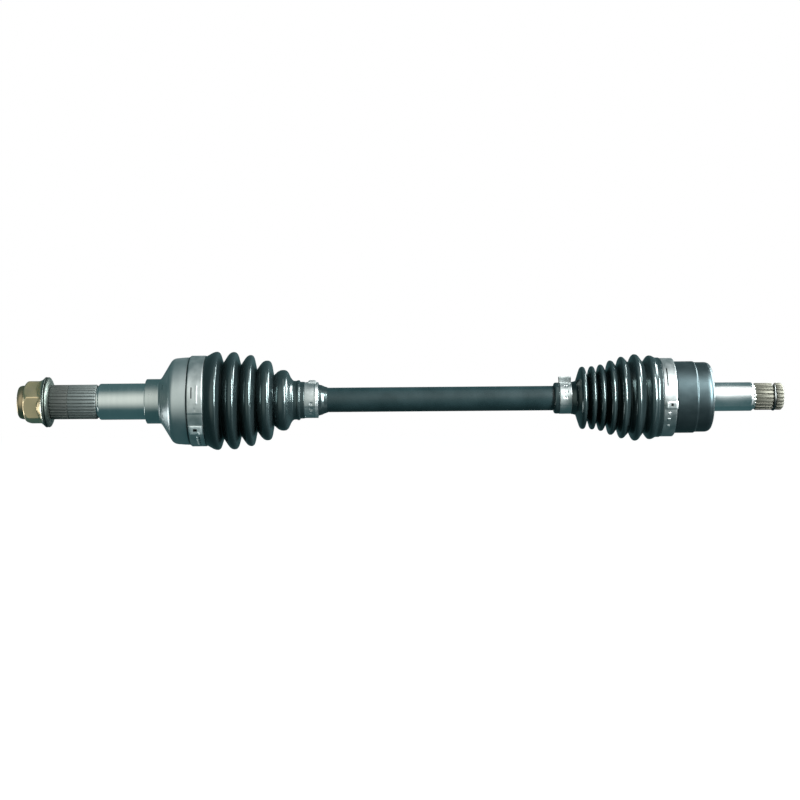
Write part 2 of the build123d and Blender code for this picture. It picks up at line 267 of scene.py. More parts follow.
class Nodes:
    """Short hand for building one material's node tree."""

    def __init__(self, name):
        self.material = bpy.data.materials.new(name)
        self.material.use_nodes = True
        self.tree = self.material.node_tree
        self.shader = self.tree.nodes["Principled BSDF"]
        self.place = self.add("ShaderNodeTexCoord").outputs["Object"]

    def add(self, kind, **settings):
        node = self.tree.nodes.new(kind)
        for key, value in settings.items():
            setattr(node, key, value)
        return node

    def link(self, a, b):
        self.tree.links.new(a, b)

    def stretched(self, scale):
        """Object coordinates, scaled along each axis."""
        mapping = self.add("ShaderNodeMapping")
        mapping.inputs["Scale"].default_value = scale
        self.link(self.place, mapping.inputs["Vector"])
        return mapping.outputs["Vector"]

    def noise(self, scale, detail=4, stretch=None):
        node = self.add("ShaderNodeTexNoise")
        node.inputs["Scale"].default_value = scale
        node.inputs["Detail"].default_value = detail
        self.link(self.stretched(stretch) if stretch else self.place, node.inputs["Vector"])
        return node.outputs["Fac"]

    def ramp(self, value, low, high, start=0.3, end=0.7):
        """Colour running from low to high as the value runs from start to end."""
        node = self.add("ShaderNodeValToRGB")
        for element, at, colour in zip(node.color_ramp.elements, (start, end), (low, high)):
            element.position = at
            element.color = (*colour, 1)
        self.link(value, node.inputs["Fac"])
        return node.outputs["Color"]

    def spread(self, value, low, high, start=0.3, end=0.7):
        """Value mapped from start..end to low..high."""
        node = self.add("ShaderNodeMapRange")
        node.inputs["From Min"].default_value = start
        node.inputs["From Max"].default_value = end
        node.inputs["To Min"].default_value = low
        node.inputs["To Max"].default_value = high
        self.link(value, node.inputs["Value"])
        return node.outputs["Result"]

    def mix(self, share, a, b):
        node = self.add("ShaderNodeMix", data_type="RGBA")
        self.link(share, node.inputs["Factor"])
        self.link(a, node.inputs["A"])
        node.inputs["B"].default_value = (*b, 1)
        return node.outputs["Result"]

    def bump(self, layers):
        """Chain of bump layers, each (height, strength, distance in metres)."""
        normal = None
        for height, strength, distance in layers:
            node = self.add("ShaderNodeBump")
            node.inputs["Strength"].default_value = strength
            node.inputs["Distance"].default_value = distance
            self.link(height, node.inputs["Height"])
            if normal:
                self.link(normal, node.inputs["Normal"])
            normal = node.outputs["Normal"]
        self.link(normal, self.shader.inputs["Normal"])

    def finish(self, colour, roughness, **plain):
        self.link(colour, self.shader.inputs["Base Color"])
        self.link(roughness, self.shader.inputs["Roughness"])
        for key, value in plain.items():
            self.shader.inputs[key.replace("_", " ")].default_value = value
        return self.material


RINGS = (1, 0.02, 0.02)


def darker(colour, share):
    return tuple(c * share for c in colour)


def turned_steel(name, dark, light, rough_low, rough_high):
    """Steel from a lathe: fine rings round the axis, light stains and handling marks."""
    n = Nodes(name)
    rings = n.noise(2600, 3, RINGS)
    wide_rings = n.noise(420, 3, RINGS)
    stains = n.noise(38, 6)
    specks = n.noise(900, 2)
    tone = n.ramp(stains, dark, light)
    tone = n.mix(n.spread(wide_rings, 0.0, 0.2), tone, darker(dark, 0.8))
    tone = n.mix(n.spread(specks, 0.0, 0.25, 0.68, 0.80), tone, darker(dark, 0.6))
    n.bump([(rings, 0.05, 0.00004), (wide_rings, 0.03, 0.0001)])
    return n.finish(tone, n.spread(stains, rough_low, rough_high), Metallic=1.0)


def forged_steel():
    """Bell's satin shell: shot-blasted grain under faint turning rings."""
    n = Nodes("forged_steel")
    grain = n.noise(1500, 4)
    rings = n.noise(900, 2, RINGS)
    stains = n.noise(26, 6)
    tone = n.ramp(stains, (0.50, 0.55, 0.56), (0.62, 0.66, 0.66))
    tone = n.mix(n.spread(grain, 0.0, 0.25, 0.5, 0.75), tone, (0.42, 0.46, 0.47))
    n.bump([(grain, 0.10, 0.00006), (rings, 0.08, 0.00006)])
    return n.finish(tone, n.spread(stains, 0.33, 0.43), Metallic=1.0)


def phosphated_steel(name, dark, light):
    """Dull crystalline coating of the splines, rubbed brighter in patches."""
    n = Nodes(name)
    crystals = n.noise(2400, 3)
    patches = n.noise(70, 5, (1, 0.5, 0.5))
    tone = n.ramp(patches, dark, light)
    tone = n.mix(n.spread(crystals, 0.0, 0.35), tone, darker(dark, 0.7))
    n.bump([(crystals, 0.12, 0.00005)])
    return n.finish(tone, n.spread(patches, 0.62, 0.52), Metallic=0.7)


def yellow_zinc(name, share):
    """Yellow chromate over zinc: tan with olive and rose drifts; a share below 1 darkens it, as painted
    shade.
    """
    n = Nodes(name)
    drift = n.noise(55, 5)
    other = n.noise(90, 4, (1, 1.4, 0.7))
    grain = n.noise(1800, 3)
    tone = n.ramp(drift, darker((0.84, 0.66, 0.41), share), darker((0.95, 0.73, 0.44), share))
    tone = n.mix(n.spread(other, 0.0, 0.35, 0.5, 0.75), tone, darker((0.80, 0.62, 0.46), share))
    tone = n.mix(n.spread(grain, 0.0, 0.15, 0.5, 0.8), tone, darker((0.56, 0.52, 0.34), share))
    n.bump([(grain, 0.06, 0.00005)])
    return n.finish(tone, n.spread(drift, 0.30, 0.38), Metallic=1.0)


def zinc_strip(name, share):
    """Band clamp strip: pale rolled steel with long fine scratches round the band."""
    n = Nodes(name)
    scratches = n.noise(3200, 3, (1, 0.05, 0.05))
    clouds = n.noise(120, 5)
    tone = n.ramp(clouds, darker((0.50, 0.54, 0.54), share), darker((0.64, 0.67, 0.67), share))
    tone = n.mix(n.spread(scratches, 0.0, 0.2, 0.5, 0.8), tone, darker((0.40, 0.44, 0.44), share))
    n.bump([(scratches, 0.06, 0.00004), (clouds, 0.10, 0.0003)])
    return n.finish(tone, n.spread(clouds, 0.34, 0.46), Metallic=1.0)


def boot_rubber():
    """Moulded black rubber: glossy, with a faint uneven bloom."""
    n = Nodes("boot_rubber")
    uneven = n.noise(120, 3)
    bloom = n.noise(45, 6)
    tone = n.ramp(bloom, (0.008, 0.0135, 0.0145), (0.012, 0.019, 0.0205), 0.35, 0.75)
    n.bump([(uneven, 0.03, 0.0004)])
    tint = (0.80, 1.0, 1.0, 1.0)
    return n.finish(
        tone, n.spread(bloom, 0.17, 0.22), IOR=1.52, Specular_IOR_Level=0.9, Specular_Tint=tint,
    )


def black_paint():
    """Satin black paint of the bar, with slight orange peel and a few rubbed specks."""
    n = Nodes("bar_paint")
    peel = n.noise(700, 3)
    wear = n.noise(60, 7)
    specks = n.noise(1500, 2)
    tone = n.ramp(wear, (0.007, 0.017, 0.019), (0.011, 0.025, 0.028), 0.35, 0.75)
    tone = n.mix(n.spread(specks, 0.0, 0.25, 0.72, 0.82), tone, (0.08, 0.10, 0.10))
    n.bump([(peel, 0.08, 0.0002)])
    return n.finish(tone, n.spread(wear, 0.26, 0.34), IOR=1.5)


def cup_coating():
    """Thin dark coating of the cup, with a metal sheen and faint turning rings."""
    n = Nodes("cup_coating")
    rings = n.noise(900, 2, RINGS)
    wear = n.noise(50, 7)
    tone = n.ramp(wear, (0.045, 0.066, 0.072), (0.064, 0.089, 0.096), 0.35, 0.75)
    n.bump([(rings, 0.05, 0.00006), (wear, 0.04, 0.0004)])
    return n.finish(tone, n.spread(wear, 0.34, 0.44), Metallic=0.9)


def dark_steel(name, tone_a, tone_b, rough):
    """Hardened steel with heat tint, for rings, cages and races; also the plain dark and pale copies that
    paint shade and highlights on the nut and the clamps.
    """
    n = Nodes(name)
    tint = n.noise(90, 5)
    grain = n.noise(1600, 3)
    n.bump([(grain, 0.12, 0.00008)])
    return n.finish(n.ramp(tint, tone_a, tone_b), n.spread(grain, rough, rough + 0.12), Metallic=1.0)


# A darker copy of the journal's turned steel: painted shade on the shoulder beside the bell.
SHOULDER_STEEL_SHADED = turned_steel("shoulder_steel_painted_shade", (0.58, 0.63, 0.63), (0.68, 0.71, 0.70), 0.20, 0.28)
JOURNAL = turned_steel("ground_steel", (0.74, 0.78, 0.78), (0.86, 0.88, 0.87), 0.18, 0.26)
BELL = forged_steel()
STUB = turned_steel("stub_steel", (0.80, 0.84, 0.85), (0.92, 0.94, 0.94), 0.20, 0.28)
DULL_SPLINES = phosphated_steel("dull_phosphate", (0.11, 0.12, 0.115), (0.15, 0.16, 0.15))
WHEEL_SPLINES = phosphated_steel("spline_phosphate", (0.10, 0.118, 0.115), (0.145, 0.165, 0.16))
STUB_SPLINES = phosphated_steel("stub_spline_steel", (0.105, 0.105, 0.086), (0.16, 0.152, 0.125))
ZINC = yellow_zinc("yellow_zinc", 1.0)
# The collar's zinc darkened to 0.55: painted shade on the nut's collar.
COLLAR_ZINC_SHADED = yellow_zinc("collar_zinc_painted_shade", 0.55)
STRIP = zinc_strip("clamp_strip", 1.0)
# A darker copy of the clamp strip: painted shade on the cup's large clamp.
SHADED_STRIP = zinc_strip("cup_clamp_strip", 0.80)
RUBBER = boot_rubber()
BAR_PAINT = black_paint()
CUP_COATING = cup_coating()
# Dark zinc that paints shade on the washer and on the flange's back, which are yellow zinc like the rest of
# the nut.
SHADE_PAINTED_ZINC = dark_steel("painted_shade_zinc", (0.10, 0.125, 0.115), (0.16, 0.185, 0.165), 0.38)
# Near-white steel on the flange's front rim: a painted highlight, the crescent of light the rim catches.
HIGHLIGHT_PAINTED_ZINC = dark_steel("painted_highlight_zinc", (0.88, 0.90, 0.80), (0.95, 0.96, 0.88), 0.22)
# Near-black steel for the clamps' slits, holes and eyes: painted shade, laid as thin sheets on the band.
HOLE_PAINTED_SHADE = dark_steel("painted_hole_shade", (0.012, 0.015, 0.015), (0.03, 0.034, 0.034), 0.5)
# Steel paler than the strip, for the buckle plate, hook and marks: a painted highlight on those raised parts.
BUCKLE_PAINTED_LIGHT = dark_steel("buckle_painted_highlight", (0.80, 0.86, 0.86), (0.92, 0.95, 0.94), 0.52)
# Dark spring steel for the circlip and clips; the same dark steel also paints shade in the large clamp's
# slots.
WIRE_AND_SLOT_SHADE = dark_steel("spring_wire_and_slot_shade", (0.10, 0.11, 0.11), (0.22, 0.22, 0.21), 0.30)
RACE_STEEL = dark_steel("race_steel", (0.34, 0.34, 0.33), (0.50, 0.49, 0.47), 0.22)
BALL_STEEL = dark_steel("ball_steel", (0.62, 0.63, 0.64), (0.72, 0.73, 0.74), 0.06)


# ---------------------------------------------------------------- wheel nut

def soft_min(a, b, width):
    """Smaller of two numbers, eased over a width where they cross."""
    gap = max(width - abs(a - b), 0) / width
    return min(a, b) - gap * gap * width / 4


def nut_angles():
    """Angles round the nut, closer together near the hexagon's corners."""
    steps = 28
    crowding = 0.13
    angles = []
    for side in range(6):
        for k in range(steps):
            share = k / steps - crowding * sin(2 * pi * k / steps)
            angles.append(radians(HEX_TURN + 60 * (side + share)))
    return angles


def hexagon_r(a):
    """Radius of the nut's hexagon with rounded corners, at an angle."""
    flat_to_corner = radians(30)
    from_flat = (a - radians(HEX_TURN)) % (2 * flat_to_corner) - flat_to_corner
    corner_r = HEX_FLATS / sqrt(3) - 0.2
    return soft_min(HEX_FLATS / 2 / cos(from_flat), corner_r, 0.12)


def wheel_nut():
    """Collar, chamfered hexagon and coned flange in one skin, hollow for the stub."""
    angles = nut_angles()
    collar = [
        (NUT_START + 1.1, NUT_BORE_R), (NUT_START + 0.3, NUT_BORE_R + 0.7, 0.3),
        (NUT_START, 11.8, 0.3), (NUT_START, 12.6, 0.6), (NUT_START + 1.0, 13.5, 0.9),
        (NUT_START + 3.0, COLLAR_R, 0.9), (HEX_START - 0.3, COLLAR_R, 0.3), (HEX_START, COLLAR_R + 0.6, 0.25),
    ]
    rings = [ring_at(x, r, angles) for x, r in softened(collar)]
    corner_r = HEX_FLATS / sqrt(3)
    steps = 18
    for k in range(steps + 1):
        share = k / steps
        x = HEX_START + 0.05 + HEX_CHAMFER * share
        cone = COLLAR_R + 0.9 + (corner_r - COLLAR_R - 0.9) * sin(pi / 2 * share) ** 0.8
        rings.append(ring_at(x, lambda a, cone=cone: soft_min(cone, hexagon_r(a), 0.25), angles))
    for x in (HEX_START + HEX_CHAMFER + 0.8, HEX_END - 2.4, HEX_END - 1.2):
        rings.append(ring_at(x, hexagon_r, angles))
    cone_end = NUT_END - 2.3
    flange = [
        (HEX_END - 1.2, 15.4), (HEX_END, 16.6, 0.8), (cone_end - 0.3, FLANGE_R - 1.4, 0.5),
        (cone_end + 1.0, FLANGE_R, 1.3), (NUT_END - 0.5, FLANGE_R, 0.5), (NUT_END, FLANGE_R - 0.7, 0.3),
        (NUT_END, NUT_BORE_R + 0.8, 0.2), (NUT_END - 0.4, NUT_BORE_R),
    ]
    for x, r in softened(flange)[1:]:
        hidden = x > cone_end
        rings.append(ring_at(x, r if hidden else lambda a, r=r: max(r, hexagon_r(a)), angles))
    # Yellow zinc on the hexagon, a near-white painted highlight on the flange's front rim, painted shade on
    # the flange's back, and a darker painted-shade zinc on the collar.
    hexagon_slot, rim_highlight_slot, back_shade_slot, collar_slot = range(4)

    def slot_at(x):
        if x < HEX_START:
            return collar_slot
        if x <= cone_end - 0.4:
            return hexagon_slot
        return rim_highlight_slot if x < cone_end + 0.15 else back_shade_slot

    slots = [slot_at(ring[0][0]) for ring in rings]
    return skin("wheel_nut_skin", rings, [ZINC, HIGHLIGHT_PAINTED_ZINC, SHADE_PAINTED_ZINC, COLLAR_ZINC_SHADED], slots, closed=True)


def nut_washer():
    """Conical washer behind the flange, in the dark zinc that paints it in shade."""
    r = radius("nut_washer")
    back_r = 18.4
    outline = [
        (WASHER_START, NUT_BORE_R, 0.2), (WASHER_START, r - 0.7, 0.4), (WASHER_START + 0.7, r, 0.4),
        (WASHER_START + 1.7, r - 0.4, 0.5), (WASHER_END - 0.2, back_r, 0.5), (WASHER_END, back_r - 0.9, 0.3),
        (WASHER_END, NUT_BORE_R, 0.2),
    ]
    return lathe("nut_washer_skin", outline, SHADE_PAINTED_ZINC, closed=True)


# ---------------------------------------------------------------- splines and threads

def tooth_height(a, teeth):
    """Height of a spline tooth from 0 at its root to 1 at its tip, at an angle."""
    share = abs(((a * teeth / (2 * pi)) + 0.5) % 1 - 0.5) * 2
    t = min(max((share - 0.54) / 0.28, 0), 1)
    return 1 - t * t * (3 - 2 * t)


def splined(name, stations, teeth, materials, slots=None):
    """Splined length of shaft through stations of (x, tip radius, root radius)."""
    steps_per_tooth = 12
    angles = even_angles(teeth * steps_per_tooth)
    rings = [
        ring_at(x, lambda a, tip=tip, root=root: root + (tip - root) * tooth_height(a, teeth), angles)
        for x, tip, root in stations
    ]
    return keep_edges(skin(name, rings, materials, slots), 50)


def threaded(name, x0, x1, r, depth, pitch, material):
    """Threaded length of shaft with a rounded vee form and a tapered first turn."""
    steps = 10
    sides = 72
    first_turn, taper_depth = 1.2, 0.7
    count = int((x1 - x0) / pitch * steps)
    rings = []
    for i in range(count + 1):
        x = x0 + (x1 - x0) * i / count
        taper = taper_depth * max(1 - (x - x0) / first_turn, 0)

        def at(a, x=x, taper=taper):
            wave = abs(((x / pitch + a / (2 * pi)) % 1) - 0.5) * 2
            return r - taper - depth * min(max((wave - 0.1) / 0.8, 0), 1)

        rings.append(ring_at(x, at, even_angles(sides)))
    return skin(name, rings, [material])


# ---------------------------------------------------------------- ball tracks

def track_r(x, a, centre, pitch_r, tube_r, base_r, straight=False):
    """Radius of a housing's inside at a place along the shaft and an angle, with its ball tracks."""
    widest_track = 0.5
    step = 0.25
    nearest = min(abs((a - radians(90 + 60 * i) + pi) % (2 * pi) - pi) for i in range(6))
    along = x - centre
    if nearest > widest_track:
        return base_r
    best = r = base_r
    while r < pitch_r + tube_r:
        r += step
        out, side = r * cos(nearest), r * sin(nearest)
        reach = out - pitch_r if straight else hypot(along, out) - pitch_r
        if reach * reach + side * side < tube_r * tube_r:
            best = r
    return best


# ---------------------------------------------------------------- wheel-end housing

def outer_housing():
    """Bell, shoulder and bearing journal, with the splined and threaded end."""
    step_in = BELL_SEAT_START
    outline = [
        (SPLINE_END - 0.2, 0), (SPLINE_END - 0.2, 12.5), (JOURNAL_START, 12.5, 0.2),
        (JOURNAL_START, JOURNAL_R - 0.8, 0.2), (JOURNAL_START + 0.9, JOURNAL_R, 0.4),
        (-0.6, JOURNAL_R, 0.1), (-0.3, JOURNAL_R - 0.2, 0.1), (0.0, JOURNAL_R - 0.1, 0.1),
        (0.0, SHOULDER_R - 0.4, 0.15), (0.4, SHOULDER_R, 0.25), (SHOULDER_END - 0.4, SHOULDER_R, 0.3),
        (SHOULDER_END + 1.2, SHOULDER_R + 1.6, 0.8), (21.8, 34.0, 1.6), (24.4, 35.5, 1.2),
        (31.0, 36.1, 1.5), (step_in - 0.8, BELL_R, 0.5), (step_in - 0.2, BELL_R, 0.2),
        (step_in, BELL_R - 0.5, 0.2), (step_in + 0.1, BELL_SEAT_R, 0.2),
        (BELL_MOUTH - 0.8, BELL_SEAT_R, 0.3), (BELL_MOUTH, BELL_SEAT_R - 0.8, 0.3),
    ]
    angles = even_angles(ROUND)
    points = softened(outline)
    rings = [ring_at(x, r, angles) for x, r in points]
    journal_slot, bell_slot, inside_slot, shoulder_shade_slot = range(4)
    # The shoulder's faces take the darker steel that paints its shade.
    slots = [
        bell_slot if x > SHOULDER_END - 0.3 else shoulder_shade_slot if r > JOURNAL_R + 0.5 else journal_slot
        for x, r in points
    ]
    sphere_r = 26.5
    mouth_start = OUTER_CENTRE + 10
    bottom = OUTER_CENTRE - 21
    flare = 3.6
    steps = 36
    for i in range(steps + 1):
        x = BELL_MOUTH - (BELL_MOUTH - bottom) * i / steps
        if x > mouth_start:
            mouth_r = sqrt(sphere_r**2 - (mouth_start - OUTER_CENTRE) ** 2)
            base = mouth_r + flare * (x - mouth_start) / (BELL_MOUTH - mouth_start)
        else:
            base = sqrt(sphere_r**2 - (x - OUTER_CENTRE) ** 2)
        rings.append(ring_at(
            x,
            lambda a, x=x, base=base: track_r(x, a, OUTER_CENTRE, OUTER_PITCH_R, OUTER_TRACK_R, base),
            angles,
        ))
        slots.append(inside_slot)
    body = keep_edges(skin("housing_body", rings, [JOURNAL, BELL, RACE_STEEL, SHOULDER_STEEL_SHADED], slots), 45)
    tip = SPLINE_R
    root = SPLINE_R - SPLINE_DEPTH
    stations = [
        (SPLINE_START, tip - 1.0, root - 0.3), (SPLINE_START + 0.9, tip, root),
        (SPLINE_BREAK - 0.4, tip, root), (SPLINE_BREAK - 0.3, tip - 0.7, root),
        (SPLINE_BREAK + 0.3, tip - 0.7, root), (SPLINE_BREAK + 0.4, tip, root),
        (SPLINE_END - 1.0, tip, root), (SPLINE_END - 0.3, tip - 0.5, root - 0.1),
        (SPLINE_END, tip - 0.9, root - 0.5),
    ]
    slots = [0 if x < SPLINE_BREAK else 1 for x, *_ in stations]
    teeth = splined("housing_splines", stations, SPLINE_TEETH, [DULL_SPLINES, WHEEL_SPLINES], slots)
    thread = threaded("housing_thread", HOUSING_START, SPLINE_START + 0.3, THREAD_R, 0.8, 1.5, WHEEL_SPLINES)
    return joined("outer_housing_skin", [body, teeth, thread])


# ---------------------------------------------------------------- bar

def shaft_bar():
    """Painted bar, with the reduced ends that carry the races."""
    outer_stop = OUTER_CENTRE + 10.6
    inner_stop = INNER_CENTRE - 9.6
    neck = 401.0
    outline = [
        (BAR_START, 0), (BAR_START, 8.4, 0.3), (BAR_START + 1.2, 9.8, 0.3), (outer_stop, 9.8, 0.2),
        (outer_stop, BAR_R, 0.3), (neck, BAR_R, 0.8), (neck + 2, 9.5, 0.8), (inner_stop, 9.5, 0.2),
        (inner_stop, 9.0, 0.1), (BAR_END - 0.9, 9.0, 0.3), (BAR_END, 7.6, 0.3), (BAR_END, 0),
    ]
    return lathe("shaft_bar_skin", outline, BAR_PAINT)


# ---------------------------------------------------------------- plunging joint's cup

def inner_cup():
    """Coated cup with straight ball tracks, and its bare splined stub."""
    outline = [
        (CUP_MOUTH, CUP_SEAT_R - 1.8, 0.2), (CUP_MOUTH + 2.8, CUP_SEAT_R, 0.3),
        (CUP_SEAT_END, CUP_SEAT_R, 0.2), (CUP_SEAT_END + 0.05, CUP_R - 0.4, 0.2),
        (CUP_SEAT_END + 0.5, CUP_R, 0.3), (CUP_STEP - 0.5, CUP_R, 0.5), (CUP_STEP + 0.3, CUP_REAR_R, 0.4),
        (CUP_FACE, CUP_REAR_R, 5.7), (CUP_FACE, STUB_R + 2.0, 0.3), (CUP_FACE + 0.6, STUB_R + 1.2, 0.3),
        (CUP_FACE + 0.8, STUB_R, 0.2), (STUB_JOURNAL_END - 1.4, STUB_R),
    ]
    angles = even_angles(ROUND)
    points = softened(outline)
    outside = [ring_at(x, r, angles) for x, r in points]
    coating_slot, stub_slot, inside_slot = range(3)
    slots = [stub_slot if r <= STUB_R + 1.3 else coating_slot for x, r in points]
    bore_r = 22.8
    bore_end = 462.0
    track_end = 454.9

    def bore_ring(x, base_r):
        return ring_at(
            x, lambda a: track_r(x, a, INNER_CENTRE, INNER_PITCH_R, INNER_TRACK_R, base_r, True), angles,
        )

    rings = [ring_at(bore_end, bore_r - 0.8, angles), ring_at(bore_end - 0.6, bore_r, angles)]
    rings.append(ring_at(track_end + 0.1, bore_r, angles))
    steps = 24
    for i in range(steps + 1):
        x = track_end - (track_end - CUP_MOUTH - 1.8) * i / steps
        rings.append(bore_ring(x, bore_r))
    rings.append(bore_ring(CUP_MOUTH, bore_r + 1.8))
    inner_slots = [inside_slot] * len(rings)
    body = keep_edges(skin(
        "cup_body", rings + outside, [CUP_COATING, STUB, RACE_STEEL], inner_slots + slots,
    ), 45)
    groove = sum(span("stub_circlip")) / 2
    tip = STUB_SPLINE_R
    root = STUB_SPLINE_R - 1.3
    stations = [
        (STUB_JOURNAL_END - 2.5, STUB_R - 0.05, STUB_R - 0.05),
        (STUB_JOURNAL_END - 1.5, STUB_R, STUB_R - 0.02), (STUB_JOURNAL_END + 0.4, STUB_R, STUB_R - 0.02),
        (STUB_JOURNAL_END + 0.8, STUB_R - 0.3, STUB_R - 0.32),
        (STUB_SPLINE_START - 2.0, root + 0.4, root + 0.3), (STUB_SPLINE_START - 1.2, tip - 0.8, root),
        (STUB_SPLINE_START - 0.2, tip, root), (groove - 1.7, tip, root),
        (groove - 1.45, tip - 0.2, root), (groove - 1.35, 9.2, 9.2), (groove + 1.35, 9.2, 9.2),
        (groove + 1.45, tip - 0.2, root), (groove + 1.7, tip, root), (STUB_END - 1.5, tip, root),
        (STUB_END - 0.2, tip - 1.2, root - 0.3), (STUB_END, tip - 1.5, root - 0.6),
    ]
    slots = [0 if x < STUB_SPLINE_START - 1.9 else 1 for x, *_ in stations]
    teeth = splined("stub_splines", stations, STUB_TEETH, [STUB, STUB_SPLINES], slots)
    return joined("inner_cup_skin", [body, teeth])


def stub_circlip():
    """Open wire ring in the stub's groove, hanging a little low."""
    middle = sum(span("stub_circlip")) / 2
    wire = 1.0
    ring_r = 10.6
    centre_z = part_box("stub_circlip")[0].z / MM + ring_r + wire
    gap = radians(50)
    steps = 96
    section = 12
    rings = []
    for i in range(steps + 1):
        a = pi / 2 + gap / 2 + (2 * pi - gap) * i / steps
        ends = min(i, steps - i)
        size = wire * (0.35 if ends == 0 else 0.85 if ends == 1 else 1)
        ring = []
        for k in range(section):
            b = 2 * pi * k / section
            r = ring_r + size * cos(b)
            ring.append((middle + size * sin(b), r * cos(a), centre_z + r * sin(a)))
        rings.append(ring)
    verts = [p for ring in rings for p in ring]
    faces = []
    for i in range(steps):
        for k in range(section):
            n = (k + 1) % section
            faces.append((i * section + k, (i + 1) * section + k, (i + 1) * section + n, i * section + n))
    faces.append(tuple(range(section)))
    faces.append(tuple(reversed(range(steps * section, (steps + 1) * section))))
    return keep_edges(make_object("stub_circlip_skin", verts, faces, [WIRE_AND_SLOT_SHADE]), 60)


# ---------------------------------------------------------------- boots

Fold = namedtuple("Fold", "x r crest_start crest_end crest_r")
# Each fold: its valley on the left, then where its crest starts and ends, and how high it stands.
OUTER_FOLDS = [
    Fold(50.4, 37.2, 56.6, 60.6, 40.75), Fold(63.7, 31.2, 69.8, 75.2, 40.4),
    Fold(78.1, 29.2, 84.1, 88.7, 37.8), Fold(91.4, 25.4, 96.9, 103.2, 33.1),
    Fold(105.4, 20.8, 110.2, 116.6, 25.2),
]
INNER_FOLDS = [
    Fold(355.4, 14.2, 359.3, 362.6, 25.9), Fold(365.0, 17.6, 367.4, 370.2, 26.3),
    Fold(372.6, 19.4, 374.7, 377.4, 27.6), Fold(380.8, 21.5, 382.7, 385.6, 30.9),
    Fold(389.2, 25.8, 391.8, 394.4, 33.9), Fold(399.1, 28.8, 402.4, 406.0, 35.9),
    Fold(411.0, 29.2, 414.8, 417.8, 34.8),
]


def fold_line(folds):
    """Corners of a row of folds: narrow valleys and rounded crests."""
    line = []
    for fold in folds:
        lead = 0.8 * (fold.crest_end - fold.crest_start)
        line += [
            (fold.x, fold.r, 0.4), (fold.crest_start, fold.crest_r, lead),
            (fold.crest_end, fold.crest_r, 0.7 * lead),
        ]
    return line


def refined(points, step=0.7):
    """Line with points added so that no stretch along the shaft is longer than the step."""
    line = []
    for (x0, r0), (x1, r1) in zip(points, points[1:]):
        count = max(1, int(hypot(x1 - x0, r1 - r0) / step))
        line += [(x0 + (x1 - x0) * k / count, r0 + (r1 - r0) * k / count) for k in range(count)]
    return [*line, points[-1]]


def cut_line(line, x0, x1):
    """Part of a line between two places, with points added where it is cut."""
    def at(x):
        for (xa, ra), (xb, rb) in zip(line, line[1:]):
            if min(xa, xb) <= x <= max(xa, xb) and xa != xb:
                return ra + (rb - ra) * (x - xa) / (xb - xa)
        return line[-1][1]
    inner = [(x, r) for x, r in line if x0 + 0.05 < x < x1 - 0.05]
    return [(x0, at(x0)), *inner, (x1, at(x1))]


def boot_piece(name, outer, x0, x1, bore):
    """Closed ring of rubber between two places; bore gives its least inside radius."""
    wall = 2.2
    outside = cut_line(outer, x0, x1)
    inside = [(x, max(r - wall, bore(x))) for x, r in cut_line(outside[::2], x0, x1)]
    angles = even_angles(ROUND)
    rings = [ring_at(x, r, angles) for x, r in outside + inside[::-1]]
    return keep_edges(skin(name, rings, [RUBBER], closed=True), 60)


def boot_set(node, line, bends, bore):
    """Lengths of one boot, cut at the ends of the bends and baked in place."""
    start, end = span(node)
    cuts = [start, *(high for low, high in bends[:-1]), end]
    for i, (low, high) in enumerate(bends):
        piece = boot_piece(f"{node}_part_{i + 1}", line, cuts[i], cuts[i + 1], bore)
        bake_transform(piece)
        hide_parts(node)


def outer_boot():
    """Wheel-end boot in four lengths, one for each hinge of the joint."""
    start, end = span("outer_boot")
    collar_r = 36.95
    collar = [(start, 36.4), (start + 0.4, collar_r, 0.3), (49.6, collar_r, 0.2), (50.0, 37.2, 0.2)]
    neck = [
        (119.6, 18.6, 1.2), (121.6, 16.2, 0.8), (124.4, 16.1, 0.5), (125.2, 16.6, 0.4),
        (126.8, 16.6, 0.4), (127.4, 15.3, 0.4), (130.8, 15.2, 0.3), (131.1, 14.25, 0.2),
        (142.2, 14.25, 0.2), (142.5, 13.0, 0.3), (145.4, 12.2, 0.6), (147.0, 11.4, 0.5), (end, 10.5),
    ]
    line = refined(softened(collar + fold_line(OUTER_FOLDS) + neck))
    bends = [(50.8, 62.5), (62.5, 80.5), (80.5, 97.0), (97.0, 121.0)]
    neck_start = 126
    folds_bore_r = 12.5

    def bore(x):
        if x < BELL_MOUTH + 0.2:
            return BELL_SEAT_R + 0.05
        return BAR_R if x > neck_start else folds_bore_r

    boot_set("outer_boot", line, bends, bore)


def inner_boot():
    """Differential-end boot in three lengths, one each for the joint's tips, swings and plunge."""
    start, end = span("inner_boot")
    neck = [
        (start, 11.8), (start + 0.4, 12.5, 0.4), (338.6, 12.9, 0.5), (341.6, 12.9, 0.3), (341.7, 12.5, 0.1),
        (351.6, 12.5, 0.1), (351.7, 13.3, 0.2), (353.2, 13.5, 0.5),
    ]
    collar = [
        (420.8, 33.0, 0.8), (424.2, 33.0, 0.4), (424.5, 32.0, 0.2), (end - 0.3, 32.0, 0.2), (end, 31.6),
    ]
    line = refined(softened(neck + fold_line(INNER_FOLDS) + collar))
    bends = [(362.0, 398.0), (398.0, 408.0), (408.0, 421.0)]
    neck_end = 353
    folds_bore_r = 12.0

    def bore(x):
        if x > CUP_MOUTH:
            return CUP_SEAT_R + 0.05
        return BAR_R if x < neck_end else folds_bore_r

    boot_set("inner_boot", line, bends, bore)


# ---------------------------------------------------------------- band clamps

